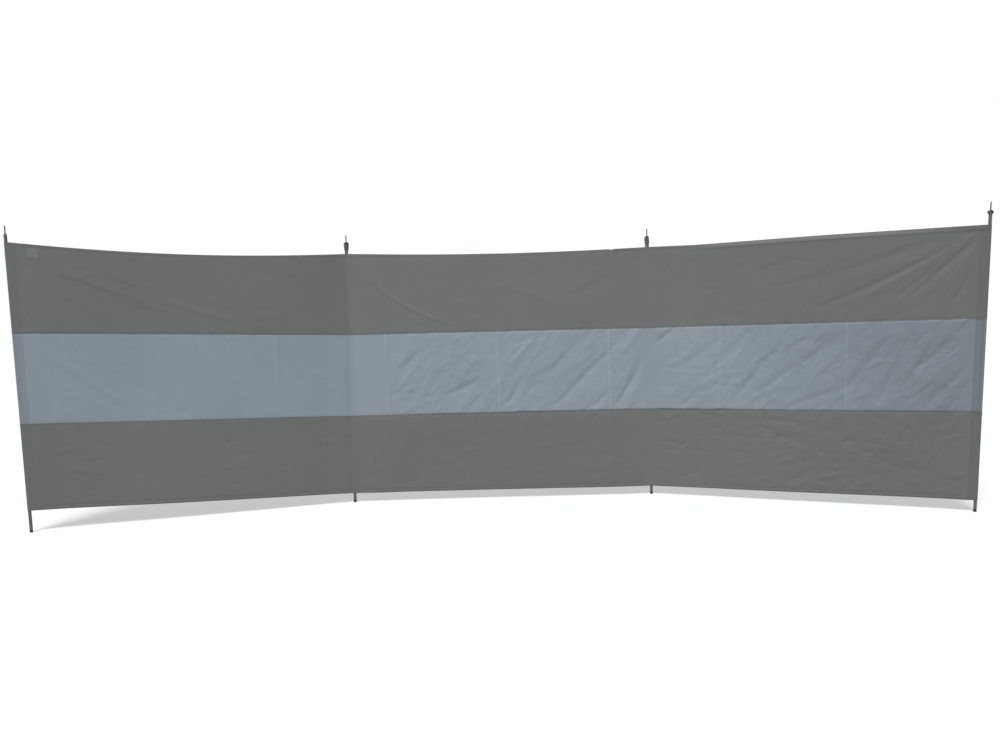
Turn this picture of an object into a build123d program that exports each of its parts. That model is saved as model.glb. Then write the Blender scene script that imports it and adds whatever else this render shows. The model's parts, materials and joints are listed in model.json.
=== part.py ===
# A three-bay fabric windbreak: banded cloth hung between four upright poles.
# Frame: millimetres, +Z up, origin on the flat foot of the second pole,
# +X along the middle bay to the third pole, -Y towards the sheltered, seen side.
import os
from math import acos, atan2, cos, hypot, radians, sin

from build123d import *

# Bays, counted from the left as the seen side shows them
bay_pitch = 1700.0
left_bay_turn_degrees = 20.5
right_bay_turn_degrees = 26.5
left_pole_lean_degrees = 1.75
right_pole_lean_degrees = 2.65

# Cloth, three sewn bands high
cloth_thickness = 1.5
bottom_band_height = 444.0
middle_band_height = 458.0
top_band_height = 458.0
foot_clearance = 54.0
foot_clearance_shares = (2.1, 1.0, 0.9, 1.1)
top_sag = 20.0
top_sag_shares = (1.6, 0.85, 0.55)
hem_height = 22.0
hem_thickness = 3.0

# Sleeves: pockets behind the cloth that the poles slide into, sewn shut beside the pole
sleeve_clearance = 0.3
end_sleeve_reach = 38.0
inner_sleeve_reach = 24.0
sleeve_seam_width = 7.0

# Poles
tube_diameter = 16.0
tube_wall = 1.0
plug_clearance = 0.1
plug_depth = 25.0
plug_sides = 6
foot_head_height = 16.0
foot_edge_chamfer = 1.5

# Pole tops: a cone and shoulder that carry the loop, and a pin above them
cone_height = 14.0
pin_diameter = 6.0
pin_shoulder = 0.6
pin_shoulder_height = 5.0
pin_length = 38.0
pin_tip_chamfer = 1.5

# Webbing loops that hang the cloth on the pole tops
loop_rise = 60.0
loop_rise_shares = (0.66, 1.05, 1.0, 1.12)
loop_thickness = 2.4
loop_width = 15.0
loop_hole_diameter = 9.2
loop_turn_degrees = (90.0, 40.0, 0.0, 0.0)
loop_eaves_reach = 14.0
loop_left_eaves_shares = (0.73, 1.0, 1.2, 1.25)
loop_right_eaves_shares = (0.73, 1.0, 0.75, 1.25)
loop_drop = 8.0
loop_tuck = 8.0
loop_tuck_shares = (1.0, 5.0, 4.5, 1.0)
loop_bend_radius = 3.0

# Bare patch sewn near the upper left corner
patch_width = 55.0
patch_height = 52.0
patch_thickness = 1.0
patch_inset = 87.0
patch_drop = 19.0

cut_overrun = 10.0

cloth_height = bottom_band_height + middle_band_height + top_band_height
tube_radius = tube_diameter / 2
tube_bore_radius = tube_radius - tube_wall
plug_radius = tube_bore_radius - plug_clearance
pin_radius = pin_diameter / 2
sleeve_bore_radius = tube_radius + sleeve_clearance
sleeve_outer_radius = sleeve_bore_radius + cloth_thickness
cloth_offset = sleeve_bore_radius + cloth_thickness / 2
loop_foot_reach = sleeve_bore_radius + loop_thickness / 2
bay_turns = (left_bay_turn_degrees, 0.0, -right_bay_turn_degrees)
pole_leans = (-left_pole_lean_degrees, 0.0, 0.0, right_pole_lean_degrees)
pole_bays = (0, 1, 1, 2)
sleeve_reaches = (end_sleeve_reach, inner_sleeve_reach, inner_sleeve_reach, end_sleeve_reach)
cloth_starts = [foot_clearance * share for share in foot_clearance_shares]
cloth_ends = [start + cloth_height for start in cloth_starts]
cone_tops = [end + loop_rise * share for end, share in zip(cloth_ends, loop_rise_shares)]
tube_tops = [top - cone_height for top in cone_tops]
plug_section = RegularPolygon(plug_radius, plug_sides)
nodes = {}


def bay_direction(bay):
    turn = radians(bay_turns[bay])
    return Vector(cos(turn), sin(turn), 0)


def foot_pitch(bay):
    """Distance between a bay's two feet: its pitch is kept half way up the cloth."""
    left_lean, right_lean = pole_leans[bay], pole_leans[bay + 1]
    left_middle = cloth_starts[bay] + cloth_height / 2
    right_middle = cloth_starts[bay + 1] + cloth_height / 2
    return bay_pitch + left_middle * sin(radians(left_lean)) - right_middle * sin(radians(right_lean))


second_foot = Vector(0, 0, 0)
third_foot = second_foot + bay_direction(1) * foot_pitch(1)
feet = (
    second_foot - bay_direction(0) * foot_pitch(0),
    second_foot,
    third_foot,
    third_foot + bay_direction(2) * foot_pitch(2),
)


def pole_plane(pole):
    """Frame of a pole: z runs up the pole from its foot, x along its bay to the right."""
    lean = radians(pole_leans[pole])
    along = bay_direction(pole_bays[pole])
    up = Vector(0, 0, 1)
    return Plane(
        origin=feet[pole],
        x_dir=along * cos(lean) - up * sin(lean),
        z_dir=along * sin(lean) + up * cos(lean),
    )


def bay_plane(bay):
    """Frame of a bay's cloth, in front of its poles: x along the bay, y up, z to the seen side."""
    turn = radians(bay_turns[bay])
    front = Vector(sin(turn), -cos(turn), 0)
    return Plane(origin=feet[bay] + front * cloth_offset, x_dir=bay_direction(bay), z_dir=front)


def beside_pole(bay, side, height, reach=None):
    """Point of a bay's plane at a height along a pole, at its sleeve's seam or at another reach."""
    pole = bay + side
    if reach is None:
        reach = sleeve_reaches[pole]
    lean = radians(pole_leans[pole])
    foot = foot_pitch(bay) * side
    inward = reach * (1 - 2 * side)
    return (foot + height * sin(lean) + inward * cos(lean), height * cos(lean) - inward * sin(lean))


def edge_line(bay, level, sag):
    """Edge of the cloth at a level above its lower edge, straight or sagging in one arc."""
    left = beside_pole(bay, 0, cloth_starts[bay] + level)
    right = beside_pole(bay, 1, cloth_starts[bay + 1] + level)
    if sag == 0:
        return Line(left, right)
    middle = ((left[0] + right[0]) / 2, (left[1] + right[1]) / 2 - sag)
    return ThreePointArc(left, middle, right)


def cloth_strip(bay, low_level, high_level, low_sag, high_sag, thickness):
    """A strip of cloth between the sleeves of a bay."""
    low_edge = edge_line(bay, low_level, low_sag)
    high_edge = edge_line(bay, high_level, high_sag)
    outline = Wire([
        low_edge,
        Line(low_edge @ 1, high_edge @ 1),
        high_edge,
        Line(high_edge @ 0, low_edge @ 0),
    ])
    face = bay_plane(bay).location * make_face(outline)
    return extrude(face, amount=thickness / 2, both=True)


def make_bay(bay):
    name = f"bay_{bay + 1}"
    sag = top_sag * top_sag_shares[bay]
    low_seam = bottom_band_height
    high_seam = bottom_band_height + middle_band_height
    hem_line = cloth_height - hem_height
    nodes[f"{name}_bottom_hem"] = cloth_strip(bay, 0, hem_height, 0, 0, hem_thickness)
    nodes[f"{name}_bottom_band"] = cloth_strip(bay, hem_height, low_seam, 0, 0, cloth_thickness)
    nodes[f"{name}_middle_band"] = cloth_strip(bay, low_seam, high_seam, 0, 0, cloth_thickness)
    nodes[f"{name}_top_band"] = cloth_strip(bay, high_seam, hem_line, 0, sag, cloth_thickness)
    nodes[f"{name}_top_hem"] = cloth_strip(bay, hem_line, cloth_height, sag, sag, hem_thickness)


def touch_point(radius, point, side):
    """Where a line from an outside point touches a round: 1 for its left side, -1 for its right."""
    turn = atan2(point[1], point[0]) + side * acos(radius / hypot(*point))
    return (radius * cos(turn), radius * sin(turn))


def pocket_outline(radius, reach, end_thickness):
    """A round, drawn by tangents to a narrow end that lies in the cloth at a reach along +x."""
    front_end = (reach, -cloth_offset - end_thickness / 2)
    back_end = (reach, -cloth_offset + end_thickness / 2)
    wedge = Polygon(
        front_end,
        back_end,
        touch_point(radius, back_end, 1),
        touch_point(radius, front_end, -1),
        align=None,
    )
    return Circle(radius) + wedge


def sleeve_section(pole):
    """Section of a sleeve: cloth drawn round the pole and sewn flat towards each bay beside it."""
    reach = sleeve_reaches[pole]
    skin = Circle(sleeve_outer_radius)
    hollow = Circle(sleeve_bore_radius)
    own_turn = bay_turns[pole_bays[pole]]
    for bay, lies_left in ((pole - 1, True), (pole, False)):
        if 0 <= bay < len(bay_turns):
            pocket = pocket_outline(sleeve_outer_radius, reach, hem_thickness)
            room = pocket_outline(sleeve_bore_radius, reach - sleeve_seam_width, sleeve_clearance)
            if lies_left:
                pocket, room = mirror(pocket, Plane.YZ), mirror(room, Plane.YZ)
            turn = Rot(0, 0, bay_turns[bay] - own_turn)
            skin += turn * pocket
            hollow += turn * room
    return skin - hollow


def make_sleeve(pole):
    levels = (0, bottom_band_height, bottom_band_height + middle_band_height, cloth_height)
    section = sleeve_section(pole)
    for name, low, high in zip(("bottom", "middle", "top"), levels, levels[1:]):
        stretch = extrude(section, amount=high - low)
        stretch = Pos(0, 0, cloth_starts[pole] + low) * stretch
        nodes[f"sleeve_{pole + 1}_{name}"] = pole_plane(pole).location * stretch


def make_tube(pole):
    length = tube_tops[pole] - foot_head_height
    ring = Circle(tube_radius) - Circle(tube_bore_radius)
    tube = Pos(0, 0, foot_head_height) * extrude(ring, amount=length)
    nodes[f"pole_{pole + 1}_tube"] = pole_plane(pole).location * tube


def make_foot(pole):
    """End plug with a head as wide as the tube, cut level with the ground."""
    head = Pos(0, 0, foot_head_height / 2) * Cylinder(tube_radius, foot_head_height)
    head = chamfer(head.edges().sort_by(Axis.Z)[0], foot_edge_chamfer)
    skirt = Pos(0, 0, -cut_overrun / 2) * Cylinder(tube_radius - foot_edge_chamfer, cut_overrun)
    stem = Pos(0, 0, foot_head_height) * extrude(plug_section, amount=plug_depth)
    foot = pole_plane(pole).location * (head + skirt + stem)
    nodes[f"pole_{pole + 1}_foot"] = split(foot, bisect_by=Plane.XY, keep=Keep.TOP)


def make_pin(pole):
    """Top plug: a stem in the tube, a cone on the tube's end, a shoulder and the pin above it."""
    pin_start = cone_height + pin_shoulder_height
    pin_end = pin_start + pin_length
    outline = Polyline(
        (0, 0),
        (tube_radius, 0),
        (pin_radius + pin_shoulder, cone_height),
        (pin_radius + pin_shoulder, pin_start),
        (pin_radius, pin_start),
        (pin_radius, pin_end - pin_tip_chamfer),
        (pin_radius - pin_tip_chamfer, pin_end),
        (0, pin_end),
        close=True,
    )
    pin = revolve(Plane.XZ * make_face(outline), Axis.Z) + extrude(plug_section, amount=-plug_depth)
    nodes[f"pole_{pole + 1}_pin"] = pole_plane(pole).location * Pos(0, 0, tube_tops[pole]) * pin


def make_loop(pole):
    """Webbing loop: its eyelet sits over the pin, its legs end on the sleeve's mouth."""
    mouth = cloth_ends[pole]
    apex = cone_tops[pole] + loop_thickness
    eaves = apex - loop_drop
    tuck = eaves - loop_tuck * loop_tuck_shares[pole]
    route = FilletPolyline(
        (-loop_foot_reach, mouth - cut_overrun),
        (-loop_foot_reach, tuck),
        (-loop_eaves_reach * loop_left_eaves_shares[pole], eaves),
        (0, apex),
        (loop_eaves_reach * loop_right_eaves_shares[pole], eaves),
        (loop_foot_reach, tuck),
        (loop_foot_reach, mouth - cut_overrun),
        radius=loop_bend_radius,
    )
    band = Plane.XZ * trace(route, line_width=loop_thickness)
    loop = extrude(band, amount=loop_width / 2, both=True)
    loop = split(loop, bisect_by=Plane.XY.offset(mouth), keep=Keep.TOP)
    eyelet = Pos(0, 0, apex) * Cylinder(loop_hole_diameter / 2, loop_rise)
    nodes[f"pole_{pole + 1}_loop"] = pole_plane(pole).location * Rot(0, 0, loop_turn_degrees[pole]) * (loop - eyelet)


def make_patch():
    """Plain patch sewn over the hem's stitching, on the seen side of the first bay."""
    high = cloth_ends[0] - patch_drop
    corner = beside_pole(0, 0, high, patch_inset)
    outline = Rectangle(patch_width, patch_height, align=(Align.MIN, Align.MAX))
    patch = Pos(corner[0], corner[1], hem_thickness / 2) * extrude(outline, amount=patch_thickness)
    nodes["corner_patch"] = bay_plane(0).location * patch


for pole_index in range(len(feet)):
    make_tube(pole_index)
    make_foot(pole_index)
    make_pin(pole_index)
    make_loop(pole_index)
    make_sleeve(pole_index)
for bay_index in range(len(bay_turns)):
    make_bay(bay_index)
make_patch()

os.makedirs("parts", exist_ok=True)
for node_name, node_shape in nodes.items():
    node_shape.label = node_name
    export_step(node_shape, f"parts/{node_name}.step")
print(len(nodes), "nodes")
for pole_index, foot in enumerate(feet):
    print("pole", pole_index + 1, "foot", foot, "cloth", cloth_starts[pole_index])
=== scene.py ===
# %% [markdown]
# # Dressing a fabric windbreak
# A windbreak is one long run of cloth in three colour bands, slid over upright poles and pulled tight
# between them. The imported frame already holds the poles, plugs and pins at their full size, with plain
# flat cloth. This lesson keeps the hard pieces and replaces every soft one with sewn, creased cloth.

import json
from math import acos, atan2, cos, hypot, pi, radians, sin, tan

import bpy
import numpy as np
from mathutils import Matrix, Vector


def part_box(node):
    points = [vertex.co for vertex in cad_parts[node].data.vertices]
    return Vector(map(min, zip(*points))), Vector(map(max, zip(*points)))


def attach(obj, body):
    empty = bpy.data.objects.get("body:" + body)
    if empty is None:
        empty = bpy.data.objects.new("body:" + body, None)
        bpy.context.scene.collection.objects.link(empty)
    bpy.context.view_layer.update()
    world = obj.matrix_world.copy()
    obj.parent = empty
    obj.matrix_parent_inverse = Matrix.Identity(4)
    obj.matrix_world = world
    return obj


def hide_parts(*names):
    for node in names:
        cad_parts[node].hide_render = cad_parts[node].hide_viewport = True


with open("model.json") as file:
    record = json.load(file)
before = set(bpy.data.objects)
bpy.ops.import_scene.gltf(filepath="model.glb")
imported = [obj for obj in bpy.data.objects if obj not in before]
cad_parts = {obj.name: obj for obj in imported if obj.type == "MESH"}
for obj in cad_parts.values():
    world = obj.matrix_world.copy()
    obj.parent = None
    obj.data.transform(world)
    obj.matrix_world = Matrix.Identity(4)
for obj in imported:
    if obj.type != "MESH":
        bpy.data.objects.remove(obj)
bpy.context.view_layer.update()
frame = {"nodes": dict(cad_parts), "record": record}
nodes = frame["nodes"]

# %% [markdown]
# ## Where the poles stand
# Everything soft hangs on the four poles, so their feet and directions come first. They could be typed in
# again, but the frame's mounts already give each foot and the direction of each top pin, and the sleeves
# show where the cloth starts on each pole and where the bands meet. Reading them keeps cloth and poles
# together.

# %% Feet, directions and cloth levels
mounts = {mount["name"]: mount for mount in frame["record"]["mounts"]}
pole_numbers = (1, 2, 3, 4)
feet = np.array([mounts[f"pole_{number}_foot_face"]["pos_m"] for number in pole_numbers])
pole_axes = np.array([mounts[f"pole_{number}_top_pin"]["axis"] for number in pole_numbers])


def stretch_along_pole(node_name, pole):
    """Lowest and highest reach of a node, measured up its pole from the foot."""
    mesh = nodes[node_name].data
    points = np.empty(len(mesh.vertices) * 3)
    mesh.vertices.foreach_get("co", points)
    heights = (points.reshape(-1, 3) - feet[pole]) @ pole_axes[pole]
    return heights.min(), heights.max()


cloth_starts = np.array([stretch_along_pole(f"sleeve_{pole + 1}_bottom", pole)[0] for pole in range(4)])
low_seam = stretch_along_pole("sleeve_2_middle", 1)[0] - cloth_starts[1]
high_seam = stretch_along_pole("sleeve_2_top", 1)[0] - cloth_starts[1]
cloth_top = stretch_along_pole("sleeve_2_top", 1)[1] - cloth_starts[1]
bay_steps = (feet[1:] - feet[:-1]) * (1, 1, 0)
alongs = bay_steps / np.linalg.norm(bay_steps, axis=1)[:, None]
fronts = np.stack([alongs[:, 1], -alongs[:, 0], np.zeros(3)], axis=1)
band_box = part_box("bay_2_middle_band")
cloth_offset = -(band_box[0].y + band_box[1].y) / 2
print("seams at", round(low_seam, 3), round(high_seam, 3), "of", round(cloth_top, 3))

# %% [markdown]
# ## The camera
# The picture was taken from about a metre over the ground, a little above the middle of the cloth, with a
# slight roll. The place, turn and lens were found by fitting the poles and seams to the picture. They are
# written into a matrix directly, because a tracked camera could not hold the roll.

# %% Camera at the photograph's angle
camera_place = Vector((0.7991, -5.4774, 1.0087))
camera_yaw = radians(0.514)
camera_pitch = radians(3.16)
camera_roll = radians(-1.536)
focal_pixels = 963.1
picture_width = 1000
forward = Vector((
    sin(camera_yaw) * cos(camera_pitch),
    cos(camera_yaw) * cos(camera_pitch),
    -sin(camera_pitch),
))
level_right = Vector((cos(camera_yaw), -sin(camera_yaw), 0))
level_up = level_right.cross(forward)
right = level_right * cos(camera_roll) + level_up * sin(camera_roll)
up = level_up * cos(camera_roll) - level_right * sin(camera_roll)
bpy.ops.object.select_all(action="DESELECT")
bpy.ops.object.camera_add()
camera = bpy.context.object
camera.name = "photo_camera"
camera.matrix_world = Matrix.Translation(camera_place) @ Matrix((right, up, -forward)).transposed().to_4x4()
camera.data.sensor_width = 36
camera.data.lens = camera.data.sensor_width * focal_pixels / picture_width
bpy.context.scene.camera = camera
print("camera lens", round(camera.data.lens, 2), "mm")

# %% [markdown]
# ## Tools for node trees
# The floor, the sky and every finish are node trees. Two small helpers keep them short: one adds a node and
# fills its inputs with values or links, the other adds a Math node and hands back its output.


# %% Node helpers
def add_node(tree, kind, settings=None, **values):
    """Add a node, set its properties, and fill its inputs with values or links."""
    node = tree.nodes.new(kind)
    for name, value in (settings or {}).items():
        setattr(node, name, value)
    for name, value in values.items():
        key = int(name[1:]) if name[0] == "i" and name[1:].isdigit() else name.replace("_", " ")
        socket = node.inputs[key]
        if isinstance(value, bpy.types.NodeSocket):
            tree.links.new(value, socket)
        else:
            socket.default_value = value
    return node


def calculate(tree, operation, first, second=0.5, third=0.5):
    """A Math node's output."""
    settings = {"operation": operation}
    return add_node(tree, "ShaderNodeMath", settings, i0=first, i1=second, i2=third).outputs[0]


print("node helpers ready")

# %% [markdown]
# ## Floor and light
# Cloth shows its creases only when the light comes from the side and above. An even sky alone would flatten
# them, so about three fifths of the light on the cloth is a wide, soft lamp high on the left, and the rest
# comes from all round. The two add up to a plain level, at which a colour renders about as it is written.

# %% Floor
floor_size = 80
seen_floor = (0.5, 0.5, 0.5, 1)
seen_glow = 0.42
ground_colour = (0.3, 0.3, 0.29, 1)
bpy.ops.object.select_all(action="DESELECT")
bpy.ops.mesh.primitive_plane_add(size=floor_size)
floor = bpy.context.object
floor.name = "studio_floor"
floor_material = bpy.data.materials.new("pale_floor")
floor_material.use_nodes = True
floor_tree = floor_material.node_tree
floor_tree.nodes.clear()
floor_ray = add_node(floor_tree, "ShaderNodeLightPath").outputs
shown_ray = calculate(floor_tree, "MAXIMUM", floor_ray["Is Camera Ray"], floor_ray["Is Glossy Ray"])
ground = add_node(floor_tree, "ShaderNodeBsdfDiffuse", Color=ground_colour)
floor_face = add_node(floor_tree, "ShaderNodeBsdfDiffuse", Color=seen_floor)
floor_glow = add_node(floor_tree, "ShaderNodeEmission", Strength=seen_glow)
floor_sum = add_node(floor_tree, "ShaderNodeAddShader", i0=floor_face.outputs[0], i1=floor_glow.outputs[0])
floor_pick = add_node(
    floor_tree, "ShaderNodeMixShader", Fac=shown_ray, i1=ground.outputs[0], i2=floor_sum.outputs[0],
)
add_node(floor_tree, "ShaderNodeOutputMaterial", Surface=floor_pick.outputs[0])
floor.data.materials.append(floor_material)
print("floor", floor_size, "m wide")

# %% Sky
sky_strength = 0.4
sky_colour = (0.97, 0.99, 1, 1)
seen_sky = (1, 1, 1, 1)
world = bpy.data.worlds.new("soft_sky")
world.use_nodes = True
bpy.context.scene.world = world
sky_tree = world.node_tree
sky_tree.nodes.clear()
sky_ray = add_node(sky_tree, "ShaderNodeLightPath").outputs["Is Camera Ray"]
sky_light = add_node(sky_tree, "ShaderNodeBackground", Color=sky_colour, Strength=sky_strength)
sky_seen = add_node(sky_tree, "ShaderNodeBackground", Color=seen_sky, Strength=1)
sky_mix = add_node(
    sky_tree, "ShaderNodeMixShader", Fac=sky_ray, i1=sky_light.outputs[0], i2=sky_seen.outputs[0],
)
add_node(sky_tree, "ShaderNodeOutputWorld", Surface=sky_mix.outputs[0])
print("sky strength", sky_strength)

# %% Lamp
lamp_strength = 3.3
lamp_height_angle = radians(52)
lamp_side_angle = radians(16)
lamp_spread = radians(20)
lamp_way = Vector((
    sin(lamp_side_angle) * cos(lamp_height_angle),
    cos(lamp_side_angle) * cos(lamp_height_angle),
    -sin(lamp_height_angle),
))
bpy.ops.object.light_add(type="SUN")
lamp = bpy.context.object
lamp.name = "soft_lamp"
lamp.rotation_euler = lamp_way.to_track_quat("-Z", "Y").to_euler()
lamp.data.energy = lamp_strength
lamp.data.angle = lamp_spread
bpy.context.scene.view_settings.view_transform = "Standard"
print("lamp strength", lamp_strength)

# %% [markdown]
# ## Shared effects for the finishes
# Both cloths are the same plain weave with a thin coating, the webbing is a coarser weave, and the metal and
# plastic are handled and scuffed. Each such effect is built once as a node group, and every material places
# it with its own values. A group only puts out numbers and colours; the shader stays in the material.


# %% An empty node group, and places turned along a slant
def new_group(name, inputs, outputs):
    """An empty shader node group with named sockets: its tree, its input node and its output node."""
    group = bpy.data.node_groups.new(name, "ShaderNodeTree")
    for socket_name, kind, value in inputs:
        socket = group.interface.new_socket(socket_name, in_out="INPUT", socket_type=kind)
        socket.default_value = value
    for socket_name, kind in outputs:
        group.interface.new_socket(socket_name, in_out="OUTPUT", socket_type=kind)
    return group, group.nodes.new("NodeGroupInput"), group.nodes.new("NodeGroupOutput")


def slanted_run(group, place, sockets):
    """Places on the cloth, turned by the group's slant and stretched across it."""
    turned = add_node(
        group, "ShaderNodeVectorRotate", {"rotation_type": "Z_AXIS"}, Vector=place, Angle=sockets["Slant"],
    )
    across = add_node(group, "ShaderNodeCombineXYZ", X=1.0, Y=sockets["Stretch"], Z=1.0)
    run = add_node(
        group, "ShaderNodeVectorMath", {"operation": "MULTIPLY"}, i0=turned.outputs[0], i1=across.outputs[0],
    )
    return run.outputs[0]


print("group tools ready")

# %% Weave: threads that pass over and under each other
weave_group, weave_in, weave_out = new_group(
    "plain_weave",
    [("Threads", "NodeSocketFloat", 1400.0)],
    [("Height", "NodeSocketFloat")],
)
weave_map = add_node(weave_group, "ShaderNodeUVMap", {"uv_map": "cloth_run"})
weave_split = add_node(weave_group, "ShaderNodeSeparateXYZ", Vector=weave_map.outputs[0])
weave_angle = calculate(weave_group, "MULTIPLY", weave_in.outputs["Threads"], pi)
warp = calculate(weave_group, "SINE", calculate(weave_group, "MULTIPLY", weave_split.outputs[0], weave_angle))
weft = calculate(weave_group, "SINE", calculate(weave_group, "MULTIPLY", weave_split.outputs[1], weave_angle))
over = calculate(weave_group, "GREATER_THAN", calculate(weave_group, "MULTIPLY", warp, weft), 0.0)
warp_height = calculate(weave_group, "MULTIPLY", calculate(weave_group, "ABSOLUTE", warp), over)
under = calculate(weave_group, "SUBTRACT", 1.0, over)
weft_height = calculate(weave_group, "MULTIPLY", calculate(weave_group, "ABSOLUTE", weft), under)
weave_group.links.new(calculate(weave_group, "ADD", warp_height, weft_height), weave_out.inputs["Height"])
print("group", weave_group.name)

# %% Crinkle: the fine sharp creases of a coated cloth
crinkle_group, crinkle_in, crinkle_out = new_group(
    "coated_crinkle",
    [
        ("Scale", "NodeSocketFloat", 9.0),
        ("Slant", "NodeSocketFloat", -0.85),
        ("Stretch", "NodeSocketFloat", 3.0),
    ],
    [("Height", "NodeSocketFloat")],
)
crinkle_map = add_node(crinkle_group, "ShaderNodeUVMap", {"uv_map": "cloth_run"})
crinkle_run = slanted_run(crinkle_group, crinkle_map.outputs[0], crinkle_in.outputs)
crinkle_noise = add_node(
    crinkle_group, "ShaderNodeTexNoise", {"noise_dimensions": "2D"},
    Vector=crinkle_run, Scale=crinkle_in.outputs["Scale"], Detail=4.0, Roughness=0.55, Distortion=0.6,
)
crinkle_centred = calculate(crinkle_group, "SUBTRACT", crinkle_noise.outputs[0], 0.5)
crinkle_ridge = calculate(crinkle_group, "ABSOLUTE", crinkle_centred)
crinkle_fall = calculate(crinkle_group, "MULTIPLY", crinkle_ridge, 4.0)
crinkle_height = calculate(crinkle_group, "SUBTRACT", 1.0, crinkle_fall)
crinkle_group.links.new(crinkle_height, crinkle_out.inputs["Height"])
print("group", crinkle_group.name)

# %% Facets: long flat faces between sharp folds, where the cloth was crushed
broad_facet_scale = 4.2
small_facet_scale = 9.0
small_facet_share = 0.25
facet_group, facet_in, facet_out = new_group(
    "crushed_facets",
    [
        ("Slant", "NodeSocketFloat", -0.95),
        ("Stretch", "NodeSocketFloat", 3.2),
        ("Warp", "NodeSocketFloat", 0.12),
    ],
    [("Height", "NodeSocketFloat")],
)
facet_map = add_node(facet_group, "ShaderNodeUVMap", {"uv_map": "cloth_run"})
facet_noise = add_node(
    facet_group, "ShaderNodeTexNoise", {"noise_dimensions": "2D"},
    Vector=facet_map.outputs[0], Scale=7.0, Detail=2.0, Roughness=0.5,
)
facet_drift = add_node(
    facet_group, "ShaderNodeVectorMath", {"operation": "SCALE"},
    i0=facet_noise.outputs["Color"], Scale=facet_in.outputs["Warp"],
)
facet_place = add_node(
    facet_group, "ShaderNodeVectorMath", {"operation": "ADD"},
    i0=facet_map.outputs[0], i1=facet_drift.outputs[0],
)
facet_run = slanted_run(facet_group, facet_place.outputs[0], facet_in.outputs)
broad_facets, small_facets = [
    add_node(facet_group, "ShaderNodeTexVoronoi", {"voronoi_dimensions": "2D"}, Vector=facet_run, Scale=scale)
    for scale in (broad_facet_scale, small_facet_scale)
]
facet_sum = calculate(
    facet_group, "MULTIPLY_ADD",
    small_facets.outputs["Distance"], small_facet_share, broad_facets.outputs["Distance"],
)
crushed_mask = add_node(facet_group, "ShaderNodeAttribute", {"attribute_name": "crushed"})
facet_height = calculate(facet_group, "MULTIPLY", facet_sum, crushed_mask.outputs["Fac"])
facet_group.links.new(facet_height, facet_out.inputs["Height"])
print("group", facet_group.name)

# %% Cloth colour: weathering, and the painted shade that the strips carry
colour_group, colour_in, colour_out = new_group(
    "sewn_cloth_colour",
    [
        ("Cloth Colour", "NodeSocketColor", (0.2, 0.2, 0.2, 1)),
        ("Doubled Shade", "NodeSocketFloat", 0.75),
        ("Patchiness", "NodeSocketFloat", 0.1),
    ],
    [("Colour", "NodeSocketColor"), ("Patches", "NodeSocketFloat")],
)
colour_place = add_node(colour_group, "ShaderNodeTexCoord")
broad_patches = add_node(
    colour_group, "ShaderNodeTexNoise",
    Vector=colour_place.outputs["Object"], Scale=2.2, Detail=3.0, Roughness=0.6,
)
fine_patches = add_node(
    colour_group, "ShaderNodeTexNoise",
    Vector=colour_place.outputs["Object"], Scale=38.0, Detail=3.0, Roughness=0.6,
)
patches = calculate(colour_group, "MULTIPLY_ADD", fine_patches.outputs[0], 0.4, broad_patches.outputs[0])
patch_centred = calculate(colour_group, "SUBTRACT", patches, 0.7)
patch_span = calculate(colour_group, "MULTIPLY", patch_centred, colour_in.outputs["Patchiness"])
patch_shade = calculate(colour_group, "ADD", patch_span, 1.0)
# Painted shade: the strips' mask darkens the colour where the cloth lies double or on a pole, at its edges,
# under the top hem and in the shaded bays, and lightens it along packet folds
painted_shade_mask = add_node(colour_group, "ShaderNodeAttribute", {"attribute_name": "painted_shade"})
shade_drop = calculate(colour_group, "SUBTRACT", colour_in.outputs["Doubled Shade"], 1.0)
painted_shade_factor = calculate(colour_group, "MULTIPLY_ADD", painted_shade_mask.outputs["Fac"], shade_drop, 1.0)
whole_shade = calculate(colour_group, "MULTIPLY", patch_shade, painted_shade_factor)
shaded_colour = add_node(
    colour_group, "ShaderNodeVectorMath", {"operation": "SCALE"},
    i0=colour_in.outputs["Cloth Colour"], Scale=whole_shade,
)
colour_group.links.new(shaded_colour.outputs[0], colour_out.inputs["Colour"])
colour_group.links.new(patches, colour_out.inputs["Patches"])
print("group", colour_group.name)

# %% Handling marks: scuffs and dust on metal and plastic
marks_group, marks_in, marks_out = new_group(
    "handling_marks",
    [
        ("Clean Colour", "NodeSocketColor", (0.2, 0.2, 0.2, 1)),
        ("Worn Colour", "NodeSocketColor", (0.4, 0.4, 0.4, 1)),
        ("Clean Roughness", "NodeSocketFloat", 0.4),
        ("Worn Roughness", "NodeSocketFloat", 0.6),
        ("Wear", "NodeSocketFloat", 0.5),
    ],
    [("Colour", "NodeSocketColor"), ("Roughness", "NodeSocketFloat"), ("Height", "NodeSocketFloat")],
)
marks_place = add_node(marks_group, "ShaderNodeTexCoord")
marks_stretch = add_node(
    marks_group, "ShaderNodeMapping", Vector=marks_place.outputs["Object"], Scale=(260.0, 260.0, 18.0),
)
scratches = add_node(
    marks_group, "ShaderNodeTexNoise",
    Vector=marks_stretch.outputs[0], Scale=1.0, Detail=4.0, Roughness=0.7,
)
smudges = add_node(
    marks_group, "ShaderNodeTexNoise",
    Vector=marks_place.outputs["Object"], Scale=45.0, Detail=5.0, Roughness=0.65,
)
mark_sum = calculate(marks_group, "ADD", scratches.outputs[0], smudges.outputs[0])
mark_edge = calculate(marks_group, "SUBTRACT", mark_sum, 0.95)
mark_amount = add_node(
    marks_group, "ShaderNodeMath", {"operation": "MULTIPLY", "use_clamp": True},
    i0=calculate(marks_group, "MULTIPLY", mark_edge, 4.0), i1=marks_in.outputs["Wear"],
).outputs[0]
mark_colour = add_node(
    marks_group, "ShaderNodeMix", {"data_type": "RGBA"},
    i0=mark_amount, i6=marks_in.outputs["Clean Colour"], i7=marks_in.outputs["Worn Colour"],
)
clean_rough = marks_in.outputs["Clean Roughness"]
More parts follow.
